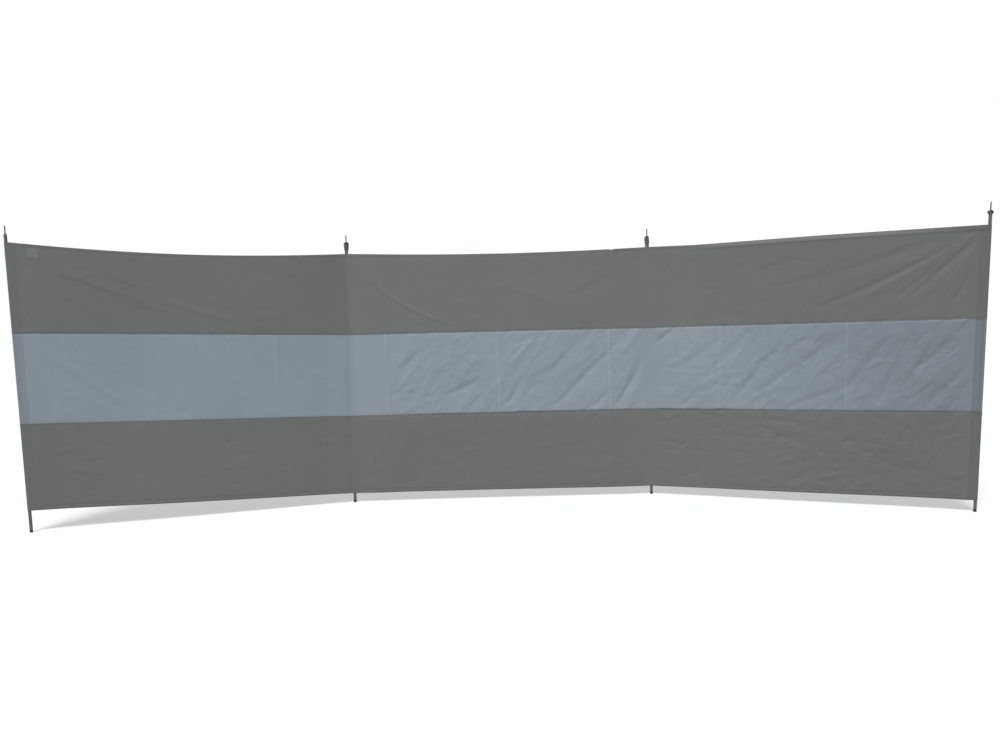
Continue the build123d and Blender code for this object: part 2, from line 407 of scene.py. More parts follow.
rough_span = calculate(marks_group, "SUBTRACT", marks_in.outputs["Worn Roughness"], clean_rough)
mark_rough = calculate(marks_group, "MULTIPLY_ADD", mark_amount, rough_span, clean_rough)
marks_group.links.new(mark_colour.outputs[2], marks_out.inputs["Colour"])
marks_group.links.new(mark_rough, marks_out.inputs["Roughness"])
marks_group.links.new(scratches.outputs[0], marks_out.inputs["Height"])
print("group", marks_group.name)

# %% [markdown]
# ## The finishes
# Two cloths, the webbing, the thread and the bare patch share the weave; the pole, pin and foot share the
# handling marks. The two cloths also get the crinkle and, where they were crushed, the facets. Colours are
# matched to the picture and written in linear light.


# %% Shader of a cloth
def linear(red, green, blue):
    """Screen colour, 0 to 255, in linear light."""
    parts = [value / 255 for value in (red, green, blue)]
    light = [part / 12.92 if part <= 0.04045 else ((part + 0.055) / 1.055) ** 2.4 for part in parts]
    return (*light, 1.0)


def place_group(tree, group, **values):
    """Put a node group into a material with its own values."""
    node = add_node(tree, "ShaderNodeGroup", {"node_tree": group})
    for name, value in values.items():
        node.inputs[name.replace("_", " ")].default_value = value
    return node


facet_depth = 0.0045


def cloth_finish(name, colour, painted_shade, patchiness, roughness, threads, weave_depth, crinkle_depth, sheen):
    """Woven cloth: coloured by the colour group, with weave, crinkle and facets bumped into its normal."""
    material = bpy.data.materials.new(name)
    material.use_nodes = True
    tree = material.node_tree
    shader = tree.nodes["Principled BSDF"]
    shade = place_group(tree, colour_group, Cloth_Colour=colour, Doubled_Shade=painted_shade, Patchiness=patchiness)
    tree.links.new(shade.outputs["Colour"], shader.inputs["Base Color"])
    rough = calculate(tree, "MULTIPLY_ADD", shade.outputs["Patches"], 0.12, roughness - 0.08)
    tree.links.new(rough, shader.inputs["Roughness"])
    weave = place_group(tree, weave_group, Threads=threads)
    weave_bump = add_node(
        tree, "ShaderNodeBump", Strength=0.35, Distance=weave_depth, Height=weave.outputs["Height"],
    )
    normal = weave_bump.outputs[0]
    if crinkle_depth:
        crinkle = place_group(tree, crinkle_group)
        crinkle_bump = add_node(
            tree, "ShaderNodeBump", Strength=0.6, Distance=crinkle_depth,
            Height=crinkle.outputs["Height"], Normal=normal,
        )
        facets = place_group(tree, facet_group)
        facet_bump = add_node(
            tree, "ShaderNodeBump", Strength=1.0, Distance=facet_depth,
            Height=facets.outputs["Height"], Normal=crinkle_bump.outputs[0],
        )
        normal = facet_bump.outputs[0]
    tree.links.new(normal, shader.inputs["Normal"])
    shader.inputs["Sheen Weight"].default_value = sheen
    shader.inputs["Sheen Roughness"].default_value = 0.5
    shader.inputs["Specular IOR Level"].default_value = 0.3
    return material


print("cloth shader ready")

# %% Cloth finishes
# Each cloth's shade value is its colour's factor where the strips' painted-shade mask is 1; the webbing,
# patch and thread get none
dark_cloth = cloth_finish(
    "dark_cloth", linear(104, 107, 106), painted_shade=0.93, patchiness=0.10, roughness=0.66,
    threads=1500, weave_depth=0.00025, crinkle_depth=0.0004, sheen=0.05,
)
light_cloth = cloth_finish(
    "light_cloth", linear(134, 144, 153), painted_shade=0.76, patchiness=0.07, roughness=0.46,
    threads=1500, weave_depth=0.00025, crinkle_depth=0.0006, sheen=0.05,
)
webbing = cloth_finish(
    "loop_webbing", linear(95, 97, 95), painted_shade=1.0, patchiness=0.25, roughness=0.75,
    threads=620, weave_depth=0.0008, crinkle_depth=0, sheen=0.15,
)
bare_patch = cloth_finish(
    "bare_patch", linear(115, 116, 112), painted_shade=1.0, patchiness=0.12, roughness=0.7,
    threads=1100, weave_depth=0.0003, crinkle_depth=0, sheen=0.05,
)
dark_thread = cloth_finish(
    "dark_thread", linear(84, 88, 86), painted_shade=1.0, patchiness=0.1, roughness=0.6,
    threads=2600, weave_depth=0.0001, crinkle_depth=0, sheen=0.1,
)
print("cloth finishes ready")


# %% Shader of metal and plastic
def hard_finish(name, clean, worn, clean_rough, worn_rough, wear, metallic, depth):
    """Metal or plastic: a clean and a worn colour, mixed by the handling marks, which also bump it."""
    material = bpy.data.materials.new(name)
    material.use_nodes = True
    tree = material.node_tree
    shader = tree.nodes["Principled BSDF"]
    marks = place_group(
        tree, marks_group, Clean_Colour=clean, Worn_Colour=worn,
        Clean_Roughness=clean_rough, Worn_Roughness=worn_rough, Wear=wear,
    )
    tree.links.new(marks.outputs["Colour"], shader.inputs["Base Color"])
    tree.links.new(marks.outputs["Roughness"], shader.inputs["Roughness"])
    bump = add_node(tree, "ShaderNodeBump", Strength=0.25, Distance=depth, Height=marks.outputs["Height"])
    tree.links.new(bump.outputs[0], shader.inputs["Normal"])
    shader.inputs["Metallic"].default_value = metallic
    return material


print("metal and plastic shader ready")

# %% Metal and plastic finishes
pole_lacquer = hard_finish(
    "pole_lacquer", clean=linear(84, 85, 83), worn=linear(124, 123, 119),
    clean_rough=0.4, worn_rough=0.6, wear=0.4, metallic=0.2, depth=0.0002,
)
pin_steel = hard_finish(
    "pin_steel", clean=linear(66, 67, 66), worn=linear(104, 103, 100),
    clean_rough=0.42, worn_rough=0.6, wear=0.5, metallic=0.3, depth=0.0002,
)
foot_plastic = hard_finish(
    "foot_plastic", clean=linear(24, 24, 24), worn=linear(70, 68, 64),
    clean_rough=0.5, worn_rough=0.8, wear=0.6, metallic=0.0, depth=0.0003,
)
hard_finishes = {"tube": pole_lacquer, "pin": pin_steel, "foot": foot_plastic}
for number in pole_numbers:
    for part, finish in hard_finishes.items():
        piece = nodes[f"pole_{number}_{part}"]
        piece.data.materials.clear()
        piece.data.materials.append(finish)
print("metal and plastic finishes on", len(pole_numbers) * len(hard_finishes), "frame nodes")

# %% [markdown]
# ## How the cloth creases
# Cloth pulled between poles could be simulated, but a simulation puts its creases where it likes. Here the
# main ones are placed one by one, as a sculptor would: sharp upright folds from the packet and long slanting
# pulls from the corners. Small crinkles are scattered among them with a seed. Each crease is a ridge of a
# given width and rise between two places on a bay, a place being a share of the bay's width and a height
# over the cloth's lower edge.


# %% Crease shapes
def ease(value):
    """Smooth step from 0 to 1."""
    value = np.clip(value, 0, 1)
    return value * value * (3 - 2 * value)


def lattice_noise(x, y, seed):
    """Smooth seeded noise from -1 to 1, about one bump to a unit."""
    size = 64
    table = np.random.default_rng(seed).uniform(-1, 1, (size, size))
    column = np.floor(x).astype(int)
    row = np.floor(y).astype(int)
    across = ease(x - column)
    rise = ease(y - row)
    low = table[column % size, row % size] * (1 - across) + table[(column + 1) % size, row % size] * across
    high = table[column % size, (row + 1) % size] * (1 - across)
    high = high + table[(column + 1) % size, (row + 1) % size] * across
    return low * (1 - rise) + high * rise


def slanting_fold(x, y, start, end, width, rise, step=0.0, bend=0.0, skew=0.4):
    """Height of a fold from start to end: a ridge or valley, with a step up to its right-hand side."""
    run = np.subtract(end, start)
    length = hypot(*run)
    share = ((x - start[0]) * run[0] + (y - start[1]) * run[1]) / length ** 2
    across = ((y - start[1]) * run[0] - (x - start[0]) * run[1]) / length
    hump = np.clip(4 * share * (1 - share), 0, 1)
    across = across - bend * length * hump
    side = across / (width * np.where(across > 0, 1 + skew, 1 - skew))
    tent = np.clip(1 - np.abs(side) / 1.7, 0, None)
    profile = rise * (0.4 * np.exp(-np.abs(side)) + 0.6 * tent) + step * side * np.exp(-0.6 * side ** 2)
    return hump ** 0.6 * profile


print("crease shapes ready")

# %% Creases placed one by one
# A packet fold is a share of the bay's width and a rise; a pull is its start, its end, its width, its rise,
# the step up to its right-hand side and its bend. Widths, rises and steps are in millimetres.
millimetre = 0.001
packet_folds = (
    ((0.375, 0.8), (0.76, 1.2)),
    ((0.122, 1.8), (0.134, -1.2), (0.495, 2.6), (0.866, 3.4)),
    ((0.232, 1.4), (0.246, -1.6), (0.625, 2.4)),
)
packet_fold_width = 7.5 * millimetre
packet_fold_above = (0.2, 0.25, 0.2)
packet_fold_below = (0.25, 0.3, 0.9)
pulls = (
    (
        ((0.05, 0.83), (0.35, 0.46), 9, 2.4, 0.0, 0.0),
        ((0.06, 0.76), (0.30, 0.47), 18, -1.0, 0.0, 0.02),
        ((0.39, 0.86), (0.50, 0.58), 14, 1.5, 0.0, 0.03),
        ((0.86, 0.71), (0.91, 0.65), 9, 2.2, 0.0, 0.0),
        ((0.13, 1.23), (0.30, 1.12), 11, 1.5, 0.0, 0.0),
        ((0.25, 1.24), (0.38, 1.15), 10, 1.6, 0.0, 0.0),
        ((0.40, 1.10), (0.66, 0.96), 13, 2.0, 0.0, 0.0),
        ((0.04, 1.30), (0.45, 1.00), 26, 1.8, 0.0, 0.02),
        ((0.03, 1.20), (0.28, 0.98), 16, 1.2, 0.0, 0.0),
    ),
    (
        ((0.626, 0.878), (0.527, 0.711), 20, 5.0, 0.0, 0.02),
        ((0.866, 0.773), (0.677, 0.450), 26, -7.5, 1.0, -0.02),
        ((0.80, 0.90), (0.60, 0.55), 30, -3.0, 0.0, 0.0),
        ((0.988, 0.745), (0.888, 0.458), 22, -8.0, 2.0, 0.0),
        ((0.97, 0.89), (0.90, 0.76), 15, 2.4, 0.0, 0.0),
        ((0.449, 0.640), (0.310, 0.538), 26, -7.0, 0.5, 0.0),
        ((0.46, 0.78), (0.33, 0.66), 24, 2.8, 0.0, 0.0),
        ((0.238, 0.810), (0.163, 0.688), 18, -4.6, 0.5, 0.0),
        ((0.22, 0.72), (0.15, 0.58), 15, 2.4, 0.0, 0.0),
        ((0.572, 0.643), (0.525, 0.492), 16, -4.0, 0.5, 0.0),
        ((0.440, 0.553), (0.390, 0.463), 16, -3.2, 0.5, 0.0),
        ((0.883, 0.574), (0.806, 0.462), 16, -4.0, 0.5, 0.0),
        ((0.04, 1.27), (0.36, 0.94), 9, 2.4, 0.0, -0.07),
        ((0.33, 1.08), (0.42, 1.07), 9, 1.6, 0.0, 0.0),
        ((0.50, 1.20), (0.75, 1.02), 40, 2.0, 0.0, 0.0),
        ((0.96, 1.30), (0.70, 1.05), 30, -1.8, 0.0, 0.0),
    ),
    (
        ((0.415, 0.770), (0.265, 0.457), 26, -6.0, 0.5, 0.0),
        ((0.615, 0.855), (0.345, 0.526), 32, -8.0, 1.0, 0.02),
        ((0.755, 0.838), (0.615, 0.540), 36, -10.0, 1.0, 0.02),
        ((0.810, 0.850), (0.720, 0.476), 24, -7.0, 1.0, 0.0),
        ((0.925, 0.815), (0.820, 0.640), 32, -8.5, 1.0, -0.02),
        ((0.900, 0.580), (0.860, 0.480), 20, -4.5, 0.5, 0.0),
        ((0.615, 0.568), (0.460, 0.462), 18, -4.5, 0.5, 0.0),
        ((0.255, 0.845), (0.105, 0.680), 20, -4.2, 0.5, 0.0),
        ((0.567, 0.850), (0.530, 0.775), 16, -4.0, 0.5, 0.0),
        ((0.180, 0.570), (0.110, 0.455), 18, -4.0, 0.5, 0.0),
        ((0.388, 0.532), (0.334, 0.456), 18, -4.2, 0.5, 0.0),
        ((0.682, 0.620), (0.642, 0.472), 18, -4.6, 0.5, 0.0),
        ((0.33, 0.88), (0.18, 0.60), 18, -2.5, 1.0, 0.0),
        ((0.55, 0.80), (0.37, 0.50), 20, 3.2, 0.0, 0.0),
        ((0.77, 0.88), (0.66, 0.47), 15, 3.0, 0.0, 0.0),
        ((0.90, 0.88), (0.77, 0.50), 20, -3.5, 1.5, 0.0),
        ((0.99, 0.72), (0.86, 0.47), 18, -3.5, 1.5, 0.0),
        ((0.95, 0.78), (0.82, 0.52), 16, 2.5, 0.0, 0.0),
        ((0.09, 0.90), (0.01, 0.79), 11, -4.0, 2.5, 0.0),
        ((0.06, 0.90), (0.01, 0.84), 9, 3.0, 0.0, 0.0),
        ((0.00, 0.665), (0.21, 0.655), 9, -1.8, 0.0, 0.03),
        ((0.00, 0.575), (0.15, 0.565), 9, -1.6, 0.0, -0.03),
        ((0.978, 1.310), (0.805, 1.030), 14, -5.0, 1.5, 0.0),
        ((0.940, 1.295), (0.530, 0.980), 15, -3.6, 1.0, 0.02),
        ((0.972, 1.180), (0.912, 0.975), 13, -5.0, 2.0, 0.0),
        ((0.873, 1.182), (0.755, 1.006), 13, -3.2, 1.0, 0.0),
        ((0.880, 1.310), (0.660, 1.205), 13, -2.2, 0.5, 0.0),
        ((0.985, 1.330), (0.870, 0.980), 14, 3.0, 0.0, 0.0),
        ((0.980, 1.330), (0.640, 1.000), 15, 2.4, 0.0, 0.0),
        ((0.980, 1.340), (0.400, 1.100), 20, -1.6, 0.5, 0.02),
        ((0.990, 1.300), (0.950, 0.980), 11, 2.4, 0.0, 0.0),
        ((0.36, 0.34), (0.53, 0.24), 14, -1.6, 0.0, 0.0),
        ((0.30, 0.38), (0.55, 0.36), 12, -1.8, 0.0, 0.02),
        ((0.18, 0.30), (0.48, 0.29), 12, -1.6, 0.0, -0.01),
        ((0.985, 0.13), (0.985, 0.00), 9, 4.0, 0.0, 0.0),
    ),
)
print("pulls in each bay:", [len(bay) for bay in pulls])

# %% Crinkles scattered with a seed
# Each row: bay, first share, lowest and highest place, how many, slant and spread in degrees, and the ranges
# of length, width and rise in millimetres
crinkle_seed = 100
crinkle_fields = (
    (0, 0.02, 0.46, 0.89, 26, -45, 40, (40, 130), (9, 13), (0.3, 0.7)),
    (1, 0.12, 0.46, 0.89, 60, 46, 34, (40, 150), (8, 12), (0.6, 2.1)),
    (2, 0.02, 0.46, 0.89, 60, 52, 24, (40, 190), (8, 13), (0.8, 2.5)),
    (0, 0.02, 0.92, 1.32, 24, -22, 25, (60, 200), (10, 16), (0.3, 0.9)),
    (1, 0.02, 0.92, 1.32, 26, 0, 40, (60, 200), (10, 16), (0.3, 0.8)),
    (2, 0.02, 0.92, 1.32, 46, 32, 25, (60, 220), (9, 14), (0.4, 1.3)),
    (0, 0.02, 0.05, 0.42, 36, 4, 12, (60, 220), (10, 15), (0.3, 0.9)),
    (1, 0.02, 0.05, 0.42, 44, 4, 14, (60, 220), (10, 15), (0.3, 1.0)),
    (2, 0.02, 0.05, 0.42, 110, 6, 18, (40, 150), (9, 13), (0.6, 1.7)),
)


def scattered_crinkles(field, number, width_of_bay):
    """Ridges of one field, drawn with the field's own seed."""
    bay, first, low, high, count, slant, spread, lengths, widths, rises = field
    draw = np.random.default_rng(crinkle_seed + number)
    found = []
    for _ in range(count):
        angle = radians(draw.normal(slant, spread))
        half = draw.uniform(*lengths) * millimetre / 2
        middle = (draw.uniform(first, 0.98) * width_of_bay, draw.uniform(low, high))
        reach = (cos(angle) * half, sin(angle) * half)
        rise = draw.uniform(*rises) * draw.choice((1, -1, -1)) * millimetre
        found.append((
            (middle[0] - reach[0], middle[1] - reach[1]),
            (middle[0] + reach[0], middle[1] + reach[1]),
            draw.uniform(*widths) * millimetre, rise, -0.4 * rise,
            draw.uniform(-0.12, 0.12), draw.uniform(-0.5, 0.5),
        ))
    return found


bay_widths = [float(np.linalg.norm(step)) for step in bay_steps]
crinkles = [[], [], []]
for field_number, crinkle_field in enumerate(crinkle_fields):
    bay_index = crinkle_field[0]
    crinkles[bay_index] += scattered_crinkles(crinkle_field, field_number, bay_widths[bay_index])
print("crinkles:", [len(ridges) for ridges in crinkles])

# %% [markdown]
# ## One relief for the whole cloth
# Bands, hems, stitches and the patch all lie on the same surface, so one function answers how far the cloth
# stands out at any place. It adds a slow billow, the creases, the pinch of each stitched line, the small
# puckers beside it and the roll of the top hem, and fades out at the poles, where the cloth is held. The top
# edge also hangs in a slow curve between its poles.

# %% Sizes of the relief
hem_height = 0.022
hem_stitch = 0.018
seam_lap = 0.011
seam_stitches = (0.002, 0.009)
pinch_depth = 0.9 * millimetre
pinch_width = 4 * millimetre
pucker_rise = 0.8 * millimetre
pucker_length = 0.028
pucker_reach = 0.035
billow_rise = 9 * millimetre
billow_length = 0.75
ripple_share = 0.4
ripple_ratio = 2.3
fold_wander = 0.004
wander_length = 0.15
billow_seed = 11
ripple_seed = 12
wander_seed = 21
pucker_seed = 40
stitch_levels = (
    hem_stitch,
    low_seam - seam_stitches[0],
    low_seam - seam_stitches[1],
    high_seam + seam_stitches[0],
    high_seam + seam_stitches[1],
    cloth_top - hem_stitch,
)
crease_ease = 0.05
billow_ease = 0.12
end_reach = 0.038
inner_reach = 0.024
sleeve_reaches = (end_reach, inner_reach, inner_reach, end_reach)
hem_rolls = (0.03, 0.07, 0.5)
hem_roll_height = 0.021
hem_roll_ease = 0.4
hem_roll_start = 0.12
hem_roll_end = 0.05
print("rows of stitches at", [round(level, 3) for level in stitch_levels])

# %% Rounded corners at the inner poles
# Two bays meet there in a hollow corner: each stops a little short, and the corner is rounded
corner_radius = 0.07
half_turns = [0.0, 0.0, 0.0, 0.0]
for inner_pole in (1, 2):
    half_turns[inner_pole] = acos(float(np.clip(alongs[inner_pole - 1] @ alongs[inner_pole], -1, 1))) / 2
corner_cuts = [cloth_offset * tan(half) for half in half_turns]
corner_runs = [corner_radius * tan(half) for half in half_turns]
print("corners run over", [round(run, 4) for run in corner_runs], "m")


# %% Relief of the cloth
def packet_fold_share(bay, level):
    """How much of a packet fold shows: all of it in the light band, less in the dark ones."""
    below = packet_fold_below[bay]
    above = packet_fold_above[bay]
    over_low_seam = ease((level - low_seam) / 0.02)
    over_high_seam = ease((level - high_seam) / 0.02)
    return below + (1 - below) * over_low_seam - (1 - above) * over_high_seam


def cloth_relief(bay, share, level):
    """How far the cloth stands out towards the seen side, for arrays of shares and levels."""
    width = bay_widths[bay]
    x = share * width
    held = np.minimum(x - sleeve_reaches[bay], width - x - sleeve_reaches[bay + 1])
    free = ease(held / billow_ease)
    near = ease(held / crease_ease)
    billow_x = x / billow_length + 9 * bay
    relief = billow_rise * lattice_noise(billow_x, level / billow_length, billow_seed) * free
    ripple_x = ripple_ratio * x / billow_length
    ripple = lattice_noise(ripple_x, ripple_ratio * level / billow_length + 5, ripple_seed + bay)
    relief = relief + ripple_share * billow_rise * ripple * free
    fold_share = packet_fold_share(bay, level)
    wander = fold_wander * lattice_noise(level / wander_length, 0 * level + bay, wander_seed)
    for fold_place, fold_rise in packet_folds[bay]:
        away = np.abs(x - fold_place * width - wander)
        relief = relief + fold_rise * millimetre * fold_share * np.exp(-away / packet_fold_width)
    for side, pole in ((x, bay), (width - x, bay + 1)):
        into_corner = np.clip(corner_runs[pole] + corner_cuts[pole] - side, 0, None)
        relief = relief + into_corner ** 2 / (2 * corner_radius)
    creases = 0 * relief
    for start, end, *sizes, bend in pulls[bay]:
        from_place = (start[0] * width, start[1])
        to_place = (end[0] * width, end[1])
        sizes = [size * millimetre for size in sizes]
        creases = creases + slanting_fold(x, level, from_place, to_place, *sizes, bend)
    for crinkle in crinkles[bay]:
        creases = creases + slanting_fold(x, level, *crinkle)
    relief = relief + creases * near
    over_hem = np.clip(level - (cloth_top - hem_roll_height), 0, None)
    rolled = ease((x - hem_roll_start) / hem_roll_ease)
    rolled = rolled * ease((width - x - hem_roll_end) / hem_roll_ease)
    relief = relief - hem_rolls[bay] * over_hem * rolled
    for number, stitch_level in enumerate(stitch_levels):
        away = np.abs(level - stitch_level)
        pucker = lattice_noise(x / pucker_length + 31 * bay, away / 0.05, pucker_seed + number)
        relief = relief - pinch_depth * np.exp(-(away / pinch_width) ** 2) * near
        relief = relief + pucker_rise * pucker * np.exp(-away / pucker_reach) * near
    return relief


print("relief ready")

# %% Top edge, and places on the cloth
top_sags = (0.032, 0.017, 0.011)
nick_bay = 1
nick_share = 0.88
nick_width = 0.009
nick_depth = 0.004
bow_bay = 2
bow_start = 0.15
bow_rise = 0.0125


def edge_drop(bay, share):
    """How far the top edge hangs below the line between its poles."""
    drop = top_sags[bay] * 4 * share * (1 - share)
    if bay == nick_bay:
        drop = drop + nick_depth * np.exp(-((share - nick_share) * bay_widths[bay] / nick_width) ** 2)
    if bay == bow_bay:
        drop = drop - bow_rise * np.sin(pi * np.clip((share - bow_start) / (1 - bow_start), 0, 1))
    return drop


def cloth_points(bay, share, level, lift):
    """Places on the cloth of a bay, lifted off its middle surface towards the seen side."""
    left = feet[bay] + pole_axes[bay] * (cloth_starts[bay] + level)[..., None]
    right = feet[bay + 1] + pole_axes[bay + 1] * (cloth_starts[bay + 1] + level)[..., None]
    points = left + (right - left) * share[..., None]
    out = cloth_offset + cloth_relief(bay, share, level) + lift
    points = points + fronts[bay] * out[..., None]
    sag_ramp = np.clip((level - high_seam) / (cloth_top - high_seam), 0, 1.1)
    points[..., 2] -= edge_drop(bay, share) * sag_ramp
    return points


print("top edge hangs by", top_sags, "m")

# %% [markdown]
# ## The three bands of cloth
# Each band is one strip, cut the whole length of the windbreak. At each end it goes round the outer pole and
# is sewn down behind, which makes the end sleeve. The dark strips lap over the light one at the seams, and
# their free edges are folded back into hems. A grid has the rows and columns for all of that, so each strip
# starts as a primitive grid, is laid over the relief, and gets its thickness from Solidify. Two masks go
# with it: one is painted shade, darker where the cloth lies double or on a pole, at its edges, under the top
# hem and in the shaded bays, and paler along packet folds, partly as a painted highlight; the other says
# where it was crushed.

# %% Thickness of a piece
cloth_thickness = 0.5 * millimetre
layer_gap = 0.6 * millimetre
thread_lift = cloth_thickness / 2 + 0.1 * millimetre


def select_only(piece):
    """Make one piece the selected and the active one."""
    bpy.ops.object.select_all(action="DESELECT")
    piece.select_set(True)
    bpy.context.view_layer.objects.active = piece


def apply_modifier(piece, kind, **settings):
    """Add a modifier with its settings and apply it at once."""
    modifier = piece.modifiers.new(kind.lower(), kind)
    for name, value in settings.items():
        setattr(modifier, name, value)
    bpy.ops.object.modifier_apply(modifier=modifier.name)


def give_thickness(piece):
    """Solidify a sheet about its middle surface, and smooth it except round its cut edges."""
    select_only(piece)
    apply_modifier(piece, "SOLIDIFY", thickness=cloth_thickness, offset=0)
    bpy.ops.object.shade_smooth_by_angle(angle=radians(50))


print("cloth", cloth_thickness, "m thick")


# %% Grids laid as cloth
def set_cloth_run(mesh, flat):
    """Give a mesh its layout as flat cloth: one place in metres for each point."""
    corner_vertex = np.empty(len(mesh.loops), dtype=np.int32)
    mesh.loops.foreach_get("vertex_index", corner_vertex)
    while mesh.uv_layers:
        mesh.uv_layers.remove(mesh.uv_layers[0])
    mesh.uv_layers.new(name="cloth_run").data.foreach_set("uv", flat[corner_vertex].reshape(-1))
    mesh.update()


def lay_grid(name, points, flat):
    """A primitive grid laid over rows of points, with its layout as flat cloth."""
    rows, columns = points.shape[:2]
    bpy.ops.object.select_all(action="DESELECT")
    bpy.ops.mesh.primitive_grid_add(x_subdivisions=columns - 1, y_subdivisions=rows - 1, size=1)
    sheet = bpy.context.object
    sheet.name = name
    sheet.data.name = name
    sheet.data.vertices.foreach_set("co", points.reshape(-1))
    set_cloth_run(sheet.data, flat.reshape(-1, 2))
    return sheet


def length_along(points):
    """Distance from the first of a row of points to each of them, along the row."""
    return np.concatenate([[0], np.cumsum(np.linalg.norm(np.diff(points, axis=0), axis=1))])


print("grid tools ready")


# %% Finish of a piece, and the frame nodes it hides
def dress(piece, finish, slot, stood_for=()):
    """Give a piece its finish, put it on the root body, and hide the nodes of the frame it stands for."""
    piece.data.materials.clear()
    piece.data.materials.append(finish)
    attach(piece, "root")
    if stood_for:
        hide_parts(*stood_for)


band_finishes = {
    "top": (dark_cloth, "cloth_dark"),
    "middle": (light_cloth, "cloth_light"),
    "bottom": (dark_cloth, "cloth_dark"),
}
print("finishes of the bands:", [slot for _, slot in band_finishes.values()])

# %% Columns along the strip
wrap_columns = 18
tail_columns = 6
tail_end = (end_reach, cloth_offset - 3 * layer_gap)
tail_turn = atan2(tail_end[1], tail_end[0]) - acos(cloth_offset / hypot(*tail_end)) + 2 * pi


def spread(stops, step):
    """Places from stop to stop, about a step apart, with one on each stop."""
    places = [stops[0]]
    for low, high in zip(stops, stops[1:]):
        pieces = max(1, round(abs(high - low) / step))
        places += list(np.linspace(low, high, pieces + 1)[1:])
    return np.array(places)


def bay_shares(bay, step):
    """Column places across a bay, with a column on each packet fold and close ones beside the poles."""
    width = bay_widths[bay]
    left_end, right_end = corner_cuts[bay], width - corner_cuts[bay + 1]
    stops = [left_end, 0.006, 0.012, inner_reach, 0.06]
    for place, _ in packet_folds[bay]:
        stops += [place * width + beside for beside in (-0.012, -0.005, 0, 0.005, 0.012)]
    stops = sorted(stops)
    stops += [width - stop for stop in (0.06, inner_reach, 0.012, 0.006)] + [right_end]
    return spread(stops, step) / width


def wrap_points(pole, level, lift):
    """Cloth round an end pole, from the seen side to the seam behind."""
    bay = 0 if pole == 0 else 2
    inward = alongs[0] if pole == 0 else -alongs[2]
    centre = feet[pole] + pole_axes[pole] * (cloth_starts[pole] + level)[:, None]
    turns = np.linspace(pi / 2, tail_turn, wrap_columns + 1)[1:]
    outward = np.cos(turns)[:, None] * inward + np.sin(turns)[:, None] * fronts[bay]
    round_part = centre[:, None] + outward[None] * (cloth_offset + lift)[:, None, None]
    tail_from = outward[-1] * cloth_offset
    tail_to = inward * tail_end[0] + fronts[bay] * tail_end[1]
    steps = np.linspace(0, 1, tail_columns + 1)[1:]
    tail = tail_from + (tail_to - tail_from) * steps[:, None]
    tail_part = centre[:, None] + tail[None] + outward[-1] * lift[:, None, None]
    from_pole = np.clip(tail @ inward, 0, None) / bay_widths[bay]
    share_grid, level_grid = np.meshgrid(from_pole if pole == 0 else 1 - from_pole, level)
    tail_part[..., 2] = cloth_points(bay, share_grid, level_grid, 0 * share_grid)[..., 2]
    return np.concatenate([round_part, tail_part], axis=1)


print("end sleeves turn", round((tail_turn - pi / 2) * 180 / pi), "degrees round the pole")

# %% Painted shade of the cloth
# Painted shade and painted shadow, as amounts by which the colour darkens: less light through cloth lying
# double or on a pole, the outer edges, the top hem's shadow, and dimmer light on the middle bay's low band
# and on the last bay
sleeve_shade = 0.55
last_sleeve_shade = 0.75
pole_edge_shade = 0.8
pole_edge_reach = 0.012
inner_pole_shade = 0.22
inner_pole_reach = 0.011
pocket_shade = 0.05
lap_shade = 0.5
outer_edge_shade = 2.2
outer_edge_reach = 0.007
hem_shadows = (0.4, 0.3, 4.5)
# Paler along the packet folds that stand out: partly coating worn at the crease, partly a painted highlight
fold_wear_and_highlight = 0.16
middle_low_shade = 0.9
last_bay_shade = 1.08


def inside(depth, soft):
    """1 where a place lies inside an edge, 0 outside it, with a soft change between."""
    return ease(depth / soft + 0.5)


def shade_at(bay, share, level):
    """Painted shade: how much darker than single cloth, where it lies double or on a pole, at its edges,
    under the hem and in the shaded bays.
    """
    width = bay_widths[bay]
    left = share * width
    right = width - left
    mask = 0 * left
    for side, pole in ((left, bay), (right, bay + 1)):
        if pole in (0, 3):
            dark = 1 - ease((level - low_seam) / 0.01) * ease((high_seam - level) / 0.01)
            sleeve = sleeve_shade + last_sleeve_shade * dark * (pole == 3)
            mask = np.maximum(mask, inside(end_reach - side, 0.006) * sleeve)
            mask = np.maximum(mask, inside(pole_edge_reach - side, 0.006) * pole_edge_shade)
        else:
            mask = np.maximum(mask, inside(inner_pole_reach - side, 0.007) * inner_pole_shade)
            mask = np.maximum(mask, inside(inner_reach - side, 0.008) * pocket_shade)
    edge = np.minimum(level, cloth_top - level)
    mask = np.maximum(mask, inside(hem_height - edge, 0.006) * lap_shade)
    mask = mask + outer_edge_shade * ease((outer_edge_reach - edge) / 0.006)
    under_hem = np.exp(-((cloth_top - hem_height - 0.003 - level) / 0.004) ** 2)
    mask = mask + hem_shadows[bay] * under_hem * ease((left - 0.05) / 0.4)
    for seam in (low_seam - seam_lap / 2, high_seam + seam_lap / 2):
        mask = np.maximum(mask, inside(seam_lap / 2 - np.abs(level - seam), 0.004) * lap_shade)
    # Packet folds made paler: worn coating and a painted highlight
    for fold_place, fold_rise in packet_folds[bay]:
        away = np.abs(left - fold_place * width)
        worn = np.exp(-(away / 0.004) ** 2) * (fold_rise > 0) * packet_fold_share(bay, level)
        mask = mask - fold_wear_and_highlight * fold_rise * worn
    if bay == 1:
        mask = mask + middle_low_shade * ease((low_seam - level) / 0.1) * ease(right / 0.2)
    if bay == 2:
        mask = mask + last_bay_shade * ease((share - 0.1) / 0.9)
    return mask


print("shade of the hems' shadows", hem_shadows)

# %% Crushed places
first_crush = 0.05
middle_light_crush = 0.85
middle_crush = 0.03
middle_low_crush = 0.14
last_dark_crush = 0.32
last_low_crush = 0.36


